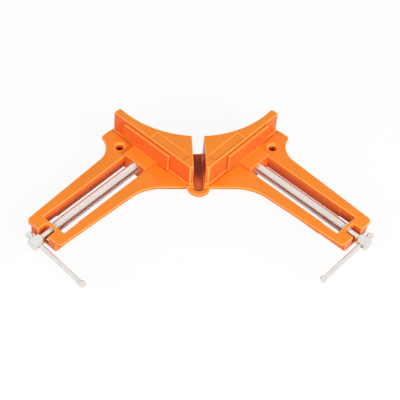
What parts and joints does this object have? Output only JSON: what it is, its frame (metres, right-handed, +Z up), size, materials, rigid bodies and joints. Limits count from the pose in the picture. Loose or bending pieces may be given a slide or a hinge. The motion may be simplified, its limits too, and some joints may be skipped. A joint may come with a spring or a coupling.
{
  "type": "corner clamp",
  "caption": "Cast corner clamp for right-angled frames: a jaw on each arm is drawn along a window to its fence by a hand screw with a sliding tommy bar.",
  "frame": {"origin": "midway between the two bench bolt holes, on the plane that the clamp stands on", "axes": "+X to the right-hand arm along the line of the bench holes, +Y to the back of the fences, +Z up"},
  "size_m": [0.2907, 0.1673, 0.0375],
  "materials": {
    "orange_powder_coat": "glossy orange powder coat on a die-cast body",
    "bright_steel": "bright plated steel, machined thread",
    "zinc_plate": "plain zinc plate"
  },
  "bodies": {
    "body": {"body_casting": "orange_powder_coat"},
    "left_jaw": {"left_jaw": "orange_powder_coat", "left_jaw_keeper": "zinc_plate", "left_keeper_screws": "zinc_plate"},
    "left_screw": {"left_lead_screw": "bright_steel", "left_thrust_washer": "zinc_plate", "left_retaining_ring": "zinc_plate", "left_screw_head": "bright_steel", "left_head_pin": "bright_steel"},
    "left_bar": {"left_tommy_bar": "bright_steel", "left_upper_knob": "bright_steel", "left_lower_knob": "bright_steel"},
    "right_jaw": {"right_jaw": "orange_powder_coat", "right_jaw_keeper": "zinc_plate", "right_keeper_screws": "zinc_plate"},
    "right_screw": {"right_lead_screw": "bright_steel", "right_thrust_washer": "zinc_plate", "right_retaining_ring": "zinc_plate", "right_screw_head": "bright_steel", "right_head_pin": "bright_steel"},
    "right_bar": {"right_tommy_bar": "bright_steel", "right_upper_knob": "bright_steel", "right_lower_knob": "bright_steel"}
  },
  "joints": [
    {"name": "left_jaw_slide", "type": "slide", "parent": "body", "child": "left_jaw", "axis": [-0.7071, -0.7071, 0], "range_m": [0, 0.09]},
    {"name": "left_screw_turn", "type": "hinge", "parent": "body", "child": "left_screw", "pos_m": [-0.13612, -0.1014, 0.011], "axis": [0.7071, 0.7071, 0], "range_deg": [0, 21600]},
    {"name": "left_bar_slide", "type": "slide", "parent": "left_screw", "child": "left_bar", "axis": [-0.6999, 0.6999, 0.1426], "range_m": [0, 0.0446]},
    {"name": "right_jaw_slide", "type": "slide", "parent": "body", "child": "right_jaw", "axis": [0.7071, -0.7071, 0], "range_m": [0, 0.09]},
    {"name": "right_screw_turn", "type": "hinge", "parent": "body", "child": "right_screw", "pos_m": [0.13612, -0.1014, 0.011], "axis": [-0.7071, 0.7071, 0], "range_deg": [0, 21600]},
    {"name": "right_bar_slide", "type": "slide", "parent": "right_screw", "child": "right_bar", "axis": [0.7069, 0.7069, 0.0262], "range_m": [0, 0.0446]}
  ],
  "couplings": [
    {"joint": "left_screw_turn", "follows": "left_jaw_slide", "rad_per_m": 4188.8},
    {"joint": "right_screw_turn", "follows": "right_jaw_slide", "rad_per_m": 4188.8}
  ]
}
